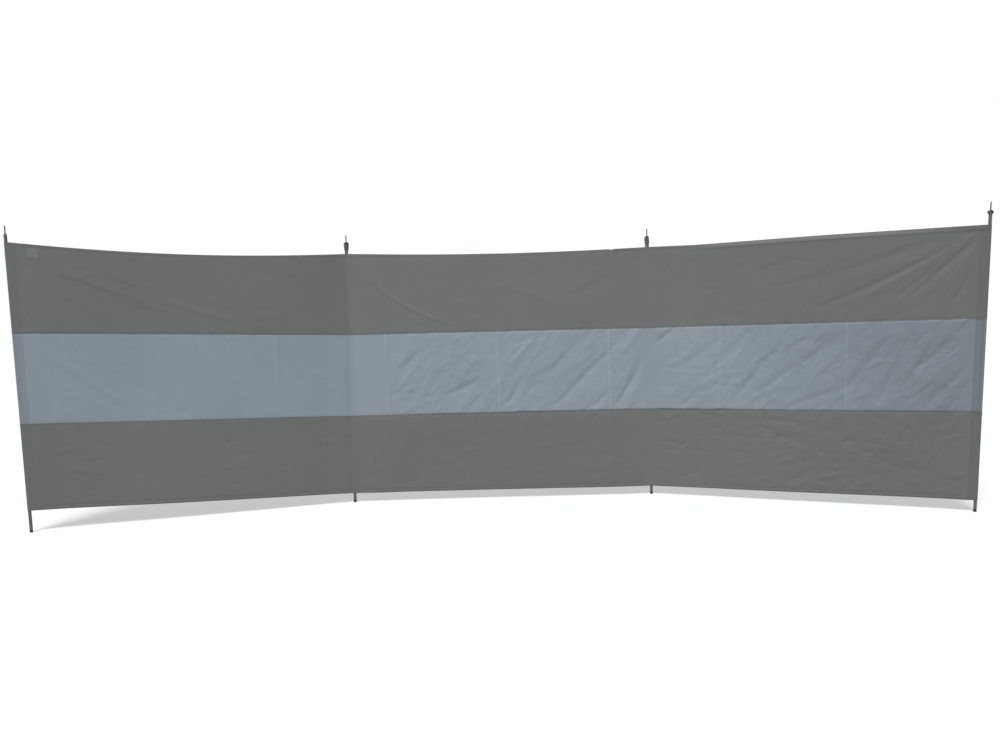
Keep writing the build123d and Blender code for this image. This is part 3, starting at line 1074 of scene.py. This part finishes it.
def crushed_at(bay, share, level):
    """How crushed the cloth is: the light band of the last two bays most, the dark bands a little."""
    light = inside(level - low_seam, 0.01) * inside(high_seam - level, 0.01)
    ends = ease(share / 0.04) * ease((1 - share) / 0.06)
    low = ease((low_seam - level) / 0.02)
    if bay == 0:
        return first_crush * light * ends
    if bay == 1:
        light_crush = middle_light_crush * light * ease((share - 0.1) / 0.2)
        return (light_crush + middle_crush + middle_low_crush * low) * ends
    dark_crush = last_dark_crush * (1 - light) + last_low_crush * low
    return (light + dark_crush * ease((share - 0.1) / 0.4)) * ends


print("crushed places ready")

# %% Laying a strip over the relief
turned_shade = 0.9
turned_share = 0.3


def wrap_shade(rows, shade):
    """Painted shade of the cloth round an end pole: it darkens as it turns away from the seen side."""
    turned = np.linspace(0, 1, wrap_columns + 1)[1:]
    round_shade = turned_shade + (shade - turned_shade) * ease(turned / turned_share)
    columns = np.concatenate([round_shade, np.full(tail_columns, turned_shade)])
    return np.broadcast_to(columns, (rows, len(columns)))


def wrap_part(pole, levels, lifts, shade):
    """Points, shade and crush of a strip round an end pole, from the seen side to the seam behind."""
    points = wrap_points(pole, levels, lifts)
    return np.dstack([points, wrap_shade(len(levels), shade), np.zeros(points.shape[:2])])


def lay_strip(name, levels, lifts, steps, end_shades):
    """One strip of cloth over all three bays, from the seam behind the first pole to that behind the last."""
    parts = [wrap_part(0, levels, lifts, end_shades[0])[:, ::-1]]
    for bay in range(3):
        shares, level_grid = np.meshgrid(bay_shares(bay, steps[bay]), levels)
        lift_grid = np.broadcast_to(lifts[:, None], shares.shape)
        parts.append(np.dstack([
            cloth_points(bay, shares, level_grid, lift_grid),
            shade_at(bay, shares, level_grid),
            crushed_at(bay, shares, level_grid),
        ]))
    for left, right in ((1, 2), (2, 3)):
        parts[left][:, -1, :3] = (parts[left][:, -1, :3] + parts[right][:, 0, :3]) / 2
        parts[right] = parts[right][:, 1:]
    parts.append(wrap_part(3, levels, lifts, end_shades[1]))
    whole = np.concatenate(parts, axis=1)
    points = whole[..., :3]
    run = length_along(points[len(levels) // 2])
    climb = length_along(np.stack([levels, lifts], axis=1))
    strip = lay_grid(name, points, np.stack(np.meshgrid(run, climb), axis=-1))
    # The painted-shade mask and the crush mask go on the strip as point attributes
    for layer, attribute in ((3, "painted_shade"), (4, "crushed")):
        values = strip.data.attributes.new(attribute, "FLOAT", "POINT")
        values.data.foreach_set("value", whole[..., layer].reshape(-1))
    strip.data.update()
    return strip, run[-1], climb[-1]


print("strip tools ready")

# %% Hems folded back at the free edges
fold_radius = layer_gap / 2
fold_angles = np.radians((45, 90, 135))


def folded_hem(edge, way):
    """Levels and lifts from a free edge round the fold and down the back: way is 1 at the top, -1 below."""
    levels = edge + way * fold_radius * (np.sin(fold_angles) - 1)
    lifts = fold_radius * (np.cos(fold_angles) - 1)
    back = edge - way * np.array((0.003, 0.009, 0.015, hem_stitch, hem_height))
    return np.concatenate([levels, back]), np.concatenate([lifts, np.full(len(back), -layer_gap)])


def lap_lift(levels, edge):
    """How far a dark strip lies over the light one beside its lapped edge."""
    return layer_gap * ease(2 - np.abs(levels - edge) / seam_lap)


row_step = 8 * millimetre
column_steps = (8.8 * millimetre,) * 3
# Painted shade round the first and the last pole, for the dark and the light strips
dark_end_shades = (3.0, 6.0)
light_end_shades = (1.3, 1.9)
seam_stops = (0.0, 0.002, 0.005, 0.009, 0.013, 0.02)
hem_stops = (fold_radius, 0.004, 0.009, 0.014, 0.018, 0.022, 0.025, 0.03)
top_stops = [high_seam + stop for stop in seam_stops] + [cloth_top - stop for stop in hem_stops[::-1]]
top_levels = spread(top_stops, row_step)
hem_levels, hem_lifts = folded_hem(cloth_top, 1)
top_strip, top_run, top_climb = lay_strip(
    "top_cloth",
    np.concatenate([top_levels, hem_levels]),
    np.concatenate([lap_lift(top_levels, high_seam), hem_lifts]),
    column_steps,
    dark_end_shades,
)
bottom_stops = list(hem_stops) + [low_seam - stop for stop in seam_stops[::-1]]
bottom_levels = spread(bottom_stops, row_step)
low_hem_levels, low_hem_lifts = folded_hem(0.0, -1)
bottom_strip, bottom_run, bottom_climb = lay_strip(
    "bottom_cloth",
    np.concatenate([low_hem_levels[::-1], bottom_levels]),
    np.concatenate([low_hem_lifts[::-1], lap_lift(bottom_levels, low_seam)]),
    column_steps,
    dark_end_shades,
)
print("dark strips", len(top_strip.data.vertices), len(bottom_strip.data.vertices), "points before thickness")

# %% The light strip between them
light_row_step = 7.8 * millimetre
light_column_steps = (15 * millimetre, 5.9 * millimetre, 5.8 * millimetre)
light_stops = [low_seam - seam_lap + stop for stop in (0.0, 0.004, 0.009, 0.014, 0.02)]
light_stops += [high_seam + seam_lap - stop for stop in (0.02, 0.014, 0.009, 0.004, 0.0)]
light_levels = spread(light_stops, light_row_step)
middle_strip, middle_run, middle_climb = lay_strip(
    "middle_cloth", light_levels, 0 * light_levels, light_column_steps, light_end_shades,
)
strip_bands = ((top_strip, "top"), (middle_strip, "middle"), (bottom_strip, "bottom"))
for strip, band in strip_bands:
    give_thickness(strip)
    stood_for = [f"bay_{bay}_{band}_band" for bay in (1, 2, 3)]
    stood_for += [f"sleeve_{pole}_{band}" for pole in (1, 4)]
    if band != "middle":
        stood_for += [f"bay_{bay}_{band}_hem" for bay in (1, 2, 3)]
    dress(strip, *band_finishes[band], stood_for)
    print(strip.name, len(strip.data.polygons) * 2, "triangles")

# %% [markdown]
# ## Pockets behind the inner poles
# At the two inner poles the cloth runs on, so a narrow strip is sewn on behind it and the pole slides up
# between them. It could be a bent tube, but it is the same cloth, so it is laid like the bands: flat at the
# seam, straight to the pole, round the back of it, and flat again.

# %% Pocket strips
pocket_tab = 0.007
pocket_arc_columns = 14
pocket_line_columns = 5
pocket_radius = 0.0087
pocket_rows = 58
pocket_slack = 0.7 * millimetre
slack_columns = 5.0
slack_length = 0.06
slack_seed = 70
pocket_end_gap = 0.5 * millimetre


def pocket_path(pole):
    """Plan of a pocket strip about the pole's centre, from the left seam to the right one."""
    sides = []
    for bay, way in ((pole - 1, -1), (pole, 1)):
        outward = alongs[bay] * way
        behind = cloth_offset - 2 * layer_gap
        seam = outward * inner_reach + fronts[bay] * behind
        tab = outward * (inner_reach - pocket_tab) + fronts[bay] * behind
        reach = inner_reach - pocket_tab
        turn = atan2(behind, reach) - acos(pocket_radius / hypot(reach, behind))
        touch = pocket_radius * (cos(turn) * outward + sin(turn) * fronts[bay])
        sides.append((seam, tab, touch))
    (left_seam, left_tab, left_touch), (right_seam, right_tab, right_touch) = sides
    lines = np.linspace(0, 1, pocket_line_columns + 1)[:, None]
    left_line = left_tab + (left_touch - left_tab) * lines
    right_line = right_touch + (right_tab - right_touch) * lines
    first_angle = atan2(left_touch[1], left_touch[0])
    last_angle = atan2(right_touch[1], right_touch[0])
    if first_angle < last_angle:
        first_angle += 2 * pi
    angles = np.linspace(first_angle, last_angle, pocket_arc_columns + 2)[1:-1]
    arc = pocket_radius * np.stack([np.cos(angles), np.sin(angles), 0 * angles], axis=1)
    return np.concatenate([[left_seam], left_line, arc, right_line, [right_seam]])


def lay_pocket(pole, band, low, high):
    """A pocket strip for one band of one inner pole."""
    path = pocket_path(pole)
    levels = np.linspace(low, high, pocket_rows)
    centre = feet[pole] + pole_axes[pole] * (cloth_starts[pole] + levels)[:, None]
    points = centre[:, None] + path[None]
    column_grid, level_grid = np.meshgrid(np.arange(len(path)) / slack_columns, levels / slack_length)
    slack = 1 + lattice_noise(column_grid, level_grid, slack_seed + pole)
    away = np.linspace(-1, 1, len(path))
    points[..., 1] += pocket_slack * slack * (1 - away ** 2)
    run = length_along(path)
    pocket = lay_grid(
        f"pocket_{pole + 1}_{band}", points[:, ::-1], np.stack(np.meshgrid(run, levels), axis=-1),
    )
    give_thickness(pocket)
    dress(pocket, *band_finishes[band], [f"sleeve_{pole + 1}_{band}"])
    return pocket


print("pocket tools ready")

# %% Pockets
pocket_bands = (("bottom", 0.0, low_seam), ("middle", low_seam, high_seam), ("top", high_seam, cloth_top))
for pole_index in (1, 2):
    for band, low, high in pocket_bands:
        made = lay_pocket(pole_index, band, low + pocket_end_gap, high - pocket_end_gap)
        print(made.name, len(made.data.polygons) * 2, "triangles")

# %% [markdown]
# ## Stitching
# Seams, hems and sleeves are held by rows of thread. Painted lines would look flat in a close view, so one
# stitch is modelled from a slim four-sided cylinder with pointed ends, and copied along every row, laid on
# the relief. The seen side and the back get a piece each.

# %% One stitch
stitch_length = 3.9 * millimetre
stitch_pitch = 5.0 * millimetre
thread_radius = 0.34 * millimetre
full_thread_share = 0.7
half_stitch_share = 0.4
tip_drop = 0.8 * thread_radius
bpy.ops.object.select_all(action="DESELECT")
bpy.ops.mesh.primitive_cylinder_add(
    vertices=4, radius=thread_radius, depth=stitch_length * full_thread_share,
    end_fill_type="TRIFAN", rotation=(0, pi / 2, 0),
)
bpy.ops.object.transform_apply(location=True, rotation=True, scale=True)
stitch = bpy.context.object
for vertex in stitch.data.vertices:
    if hypot(vertex.co.y, vertex.co.z) < thread_radius / 2:
        vertex.co.x *= 1 / full_thread_share
        vertex.co.z -= tip_drop
stitch_points = np.array([vertex.co[:] for vertex in stitch.data.vertices])
stitch_faces = [tuple(polygon.vertices) for polygon in stitch.data.polygons]
bpy.data.objects.remove(stitch)
print("one stitch has", len(stitch_faces), "faces")


# %% Rows of stitches
def row_along(bay, level, lift):
    """Starts and ends of the stitches along a level of a bay."""
    count = int(bay_widths[bay] / stitch_pitch)
    shares = (np.arange(count) + 0.5) / count
    step = half_stitch_share / count
    levels = np.full(count, level)
    lifts = np.full(count, lift)
    return cloth_points(bay, shares - step, levels, lifts), cloth_points(bay, shares + step, levels, lifts)


def row_up(bay, reach, low, high, lift):
    """Starts and ends of the stitches up the cloth, at a distance from the bay's left pole."""
    count = int((high - low) / stitch_pitch)
    levels = low + (np.arange(count) + 0.5) * stitch_pitch
    shares = np.full(count, reach / bay_widths[bay])
    lifts = np.full(count, lift)
    step = half_stitch_share * stitch_pitch
    return cloth_points(bay, shares, levels - step, lifts), cloth_points(bay, shares, levels + step, lifts)


def sew(name, rows, side):
    """All stitches of one side as one piece: each lies along its row, its tips bent towards the cloth."""
    points = []
    faces = []
    for bay, (starts, ends) in rows:
        forward_way = ends - starts
        forward_way = forward_way / np.linalg.norm(forward_way, axis=1)[:, None]
        out_way = np.broadcast_to(fronts[bay] * side, forward_way.shape)
        across_way = np.cross(out_way, forward_way)
        across_way = across_way / np.linalg.norm(across_way, axis=1)[:, None]
        out_way = np.cross(forward_way, across_way)
        middles = (starts + ends) / 2
        turned = (
            stitch_points[None, :, 0, None] * forward_way[:, None]
            + stitch_points[None, :, 1, None] * across_way[:, None]
            + stitch_points[None, :, 2, None] * out_way[:, None]
        )
        placed = middles[:, None] + turned
        for place in placed:
            first = len(points)
            points += place.tolist()
            faces += [tuple(first + corner for corner in face) for face in stitch_faces]
    mesh = bpy.data.meshes.new(name)
    mesh.from_pydata(points, [], faces)
    mesh.polygons.foreach_set("use_smooth", [True] * len(mesh.polygons))
    sewn = bpy.data.objects.new(name, mesh)
    bpy.context.scene.collection.objects.link(sewn)
    mesh.uv_layers.new(name="cloth_run")
    dress(sewn, dark_thread, "cloth_dark")
    return sewn


print("sewing tools ready")

# %% Stitching of the strips
sleeve_stitch = 0.0035
sleeve_row_end = 0.024
front_rows = []
back_rows = []
for bay_index in range(3):
    for level in stitch_levels:
        on_hem = level in (stitch_levels[0], stitch_levels[-1])
        front_lift = thread_lift if on_hem else layer_gap + thread_lift
        back_lift = -(layer_gap + thread_lift) if on_hem else -thread_lift
        front_rows.append((bay_index, row_along(bay_index, level, front_lift)))
        back_rows.append((bay_index, row_along(bay_index, level, back_lift)))
    for side, pole_index in ((0, bay_index), (1, bay_index + 1)):
        reach = sleeve_reaches[pole_index] - sleeve_stitch
        place = reach if side == 0 else bay_widths[bay_index] - reach
        layers = 3 if pole_index in (0, 3) else 2
        for rows, lift in ((front_rows, thread_lift), (back_rows, -(layers * layer_gap + thread_lift))):
            row = row_up(bay_index, place, sleeve_row_end, cloth_top - sleeve_row_end, lift)
            rows.append((bay_index, row))
front_stitching = sew("front_stitching", front_rows, 1)
back_stitching = sew("back_stitching", back_rows, -1)
print("stitching", len(front_stitching.data.polygons), len(back_stitching.data.polygons), "faces")

# %% [markdown]
# ## Webbing loops on the pole tops
# A webbing loop hangs the cloth on each pole: it goes over the cone, and the pin comes up through an eyelet.
# It is a flat band on a bent route, so a curve with a width gives the band, Solidify its thickness, a
# Boolean the eyelet, and a Bevel the soft edges, once the slivers of that cut are merged. Its legs are sewn
# on in front of the pole and behind it, so each loop curls round the pole below, lies flat above, and twists
# on its way up: every point turns about the pole by an angle that follows its height.

# %% Sizes of the loops
loop_thickness = 0.003
loop_width = 0.015
loop_top_width = 0.0135
loop_hole_radius = 0.0046
loop_foot_reach = 0.0095
loop_drops = (0.008, 0.006, 0.010, 0.010)
loop_left_eaves = (0.0098, 0.0116, 0.0120, 0.0134)
loop_right_eaves = (0.0098, 0.0116, 0.0080, 0.0128)
loop_tucks = (0.010, 0.040, 0.036, -0.004)
loop_fullness = (0.5, 0.38, 0.7, 0.5)
loop_stand = 0.004
loop_flat_top = 0.004
eaves_below = 0.0015
eaves_above = 0.001
slope_side = 0.6
slope_rise = 0.7
loop_bevel = 0.0006
sliver_size = 0.0001
foot_turns = (90, 80, 40, 80)
top_turns = (90, 46, 34, 24)
twist_starts = (0.0, 0.0, 0.0, 0.66)
twist_ends = (1.0, 0.75, 0.7, 0.95)
curl_ends = (0.9, 0.5, 0.4, 0.95)
pole_bays = (0, 1, 1, 2)
narrow_start = 0.5
narrow_share = 0.4
uncurl_start = 0.6
punch_depth = 0.02
print("loops", loop_width, "m wide")


# %% Route and band of a loop
def loop_route(pole, mouth, apex):
    """Corners of the loop's route: up the left leg, over the eaves and the top, and down the right leg."""
    drop = loop_drops[pole]
    eaves = apex - drop
    tuck = eaves - loop_tucks[pole]
    full = loop_fullness[pole]
    foot = loop_foot_reach
    legs = []
    for side_eaves in (loop_left_eaves[pole], loop_right_eaves[pole]):
        legs.append((
            (foot, mouth),
            (foot, mouth + loop_stand),
            (foot, (mouth + tuck) / 2),
            (foot, tuck),
            (foot + (side_eaves - foot) * full, (tuck + eaves) / 2),
            (side_eaves, eaves - eaves_below),
            (side_eaves, eaves + eaves_above),
            (side_eaves * slope_side, eaves + drop * slope_rise),
            (loop_flat_top, apex),
        ))
    return [(-side, height) for side, height in legs[0]] + list(legs[1][::-1])


def band_from(name, route):
    """A flat band along a route, its width across the route's plane, standing in its own frame."""
    curve = bpy.data.curves.new(name, "CURVE")
    curve.dimensions = "3D"
    spline = curve.splines.new("NURBS")
    spline.points.add(len(route) - 1)
    for point, (side, height) in zip(spline.points, route):
        point.co = (side, 0, height, 1)
    spline.order_u = 3
    spline.use_endpoint_u = True
    spline.resolution_u = 5
    curve.extrude = loop_width / 2
    band = bpy.data.objects.new(name, curve)
    bpy.context.scene.collection.objects.link(band)
    select_only(band)
    bpy.ops.object.convert(target="MESH")
    return bpy.context.object


print("loop routes ready")


# %% Slivers and twist of a loop
def clear_slivers(size):
    """Merge points of the active piece that lie closer than a size, and drop the faces this flattens."""
    bpy.ops.object.mode_set(mode="EDIT")
    bpy.ops.mesh.select_all(action="SELECT")
    bpy.ops.mesh.remove_doubles(threshold=size)
    bpy.ops.mesh.dissolve_degenerate(threshold=size)
    bpy.ops.object.mode_set(mode="OBJECT")


def twisted(places, pole, mouth, apex):
    """Loop points moved from their own frame to the pole: curled round it below, and turned by the twist."""
    side, wide, height = places.T
    height_shares = (height - mouth) / (apex - mouth)
    reach = np.maximum(np.abs(side), loop_foot_reach / 2)
    arc = wide / np.maximum(reach, loop_foot_reach)
    curl = 1 - ease((height_shares / curl_ends[pole] - uncurl_start) / (1 - uncurl_start))
    curled_side = side + (np.sign(side) * reach * np.cos(arc) - side) * curl
    curled_wide = wide + (reach * np.sin(arc) - wide) * curl
    twist = ease((height_shares - twist_starts[pole]) / (twist_ends[pole] - twist_starts[pole]))
    turn = np.radians(foot_turns[pole] + (top_turns[pole] - foot_turns[pole]) * twist)
    across = curled_side * np.cos(turn) - curled_wide * np.sin(turn)
    depth = curled_side * np.sin(turn) + curled_wide * np.cos(turn)
    axis = pole_axes[pole]
    sideways = np.cross(axis, fronts[pole_bays[pole]])
    sideways = sideways / np.linalg.norm(sideways)
    behind_way = np.cross(axis, sideways)
    return feet[pole] + across[:, None] * sideways + depth[:, None] * behind_way + height[:, None] * axis


print("loop twist ready")

# %% Loops
for pole_index in range(4):
    mouth = cloth_starts[pole_index] + cloth_top
    apex = stretch_along_pole(f"pole_{pole_index + 1}_loop", pole_index)[1] - loop_thickness / 2
    loop = band_from(f"loop_{pole_index + 1}", loop_route(pole_index, mouth, apex))
    mesh = loop.data
    mesh.name = loop.name
    for vertex in mesh.vertices:
        height_share = (vertex.co.z - mouth) / (apex - mouth)
        narrowed = float(ease((height_share - narrow_start) / narrow_share))
        vertex.co.y *= 1 - (1 - loop_top_width / loop_width) * narrowed
    apply_modifier(loop, "SOLIDIFY", thickness=loop_thickness, offset=0)
    bpy.ops.object.select_all(action="DESELECT")
    bpy.ops.mesh.primitive_cylinder_add(
        vertices=28, radius=loop_hole_radius, depth=punch_depth, location=(0, 0, apex),
    )
    punch = bpy.context.object
    select_only(loop)
    apply_modifier(loop, "BOOLEAN", operation="DIFFERENCE", object=punch, solver="EXACT")
    bpy.data.objects.remove(punch)
    clear_slivers(sliver_size)
    apply_modifier(loop, "BEVEL", width=loop_bevel, segments=2, limit_method="ANGLE", angle_limit=radians(40))
    bpy.ops.object.shade_smooth_by_angle(angle=radians(45))
    places = np.empty(len(mesh.vertices) * 3)
    mesh.vertices.foreach_get("co", places)
    places = places.reshape(-1, 3)
    mesh.vertices.foreach_set("co", twisted(places, pole_index, mouth, apex).reshape(-1))
    set_cloth_run(mesh, np.stack([places[:, 1], places[:, 2] + np.abs(places[:, 0])], axis=1))
    dress(loop, webbing, "loop_webbing", [f"pole_{pole_index + 1}_loop"])
    print(loop.name, len(mesh.polygons), "faces")

# %% [markdown]
# ## The bare patch
# A small plain patch is sewn near the upper left corner. It lies on the cloth, so it is a fine grid with
# rounded corners laid on the same relief, a little further out, with its own row of stitches round it.

# %% Patch
patch_width = 0.055
patch_height = 0.052
patch_inset = 0.087
patch_drop = 0.019
patch_lift = 1.1 * millimetre
patch_corner = 0.005
patch_columns = 34
patch_rows = 26
across_grid, down_grid = np.meshgrid(np.linspace(-1, 1, patch_columns), np.linspace(-1, 1, patch_rows))
half_width = patch_width / 2
half_height = patch_height / 2
patch_x = across_grid * half_width
patch_y = down_grid * half_height
inner_x = half_width - patch_corner
inner_y = half_height - patch_corner
over_x = np.clip(np.abs(patch_x) - inner_x, 0, None)
over_y = np.clip(np.abs(patch_y) - inner_y, 0, None)
in_corner = (over_x > 0) & (over_y > 0)
corner_reach = np.maximum(np.hypot(over_x, over_y), 1e-9)
squeeze = np.where(in_corner, np.maximum(over_x, over_y) / corner_reach, 1)
patch_x = np.sign(patch_x) * (np.minimum(np.abs(patch_x), inner_x) + over_x * squeeze)
patch_y = np.sign(patch_y) * (np.minimum(np.abs(patch_y), inner_y) + over_y * squeeze)
patch_share = (patch_inset + half_width + patch_x) / bay_widths[0]
patch_level = cloth_top - patch_drop - half_height + patch_y
patch_points = cloth_points(0, patch_share, patch_level, np.full(patch_share.shape, patch_lift))
patch = lay_grid("bare_patch", patch_points, np.stack([patch_x, patch_y], axis=-1))
give_thickness(patch)
dress(patch, bare_patch, "patch_cloth", ["corner_patch"])
print("patch", len(patch.data.polygons), "faces")

# %% Stitches round the patch
patch_rows_sewn = []
stitch_inset = 0.004
sewn_lift = patch_lift + thread_lift
patch_left = patch_inset + stitch_inset
patch_right = patch_inset + patch_width - stitch_inset
patch_top = cloth_top - patch_drop - stitch_inset
patch_bottom = cloth_top - patch_drop - patch_height + stitch_inset
for level in (patch_bottom, patch_top):
    starts = np.arange(patch_left, patch_right - stitch_length, stitch_pitch)
    levels = np.full(len(starts), level)
    lifts = np.full(len(starts), sewn_lift)
    row_starts = cloth_points(0, starts / bay_widths[0], levels, lifts)
    row_ends = cloth_points(0, (starts + stitch_length) / bay_widths[0], levels, lifts)
    patch_rows_sewn.append((0, (row_starts, row_ends)))
for place in (patch_left, patch_right):
    patch_rows_sewn.append((0, row_up(0, place, patch_bottom, patch_top, sewn_lift)))
patch_stitching = sew("patch_stitching", patch_rows_sewn, 1)
print("patch stitching", len(patch_stitching.data.polygons), "faces")
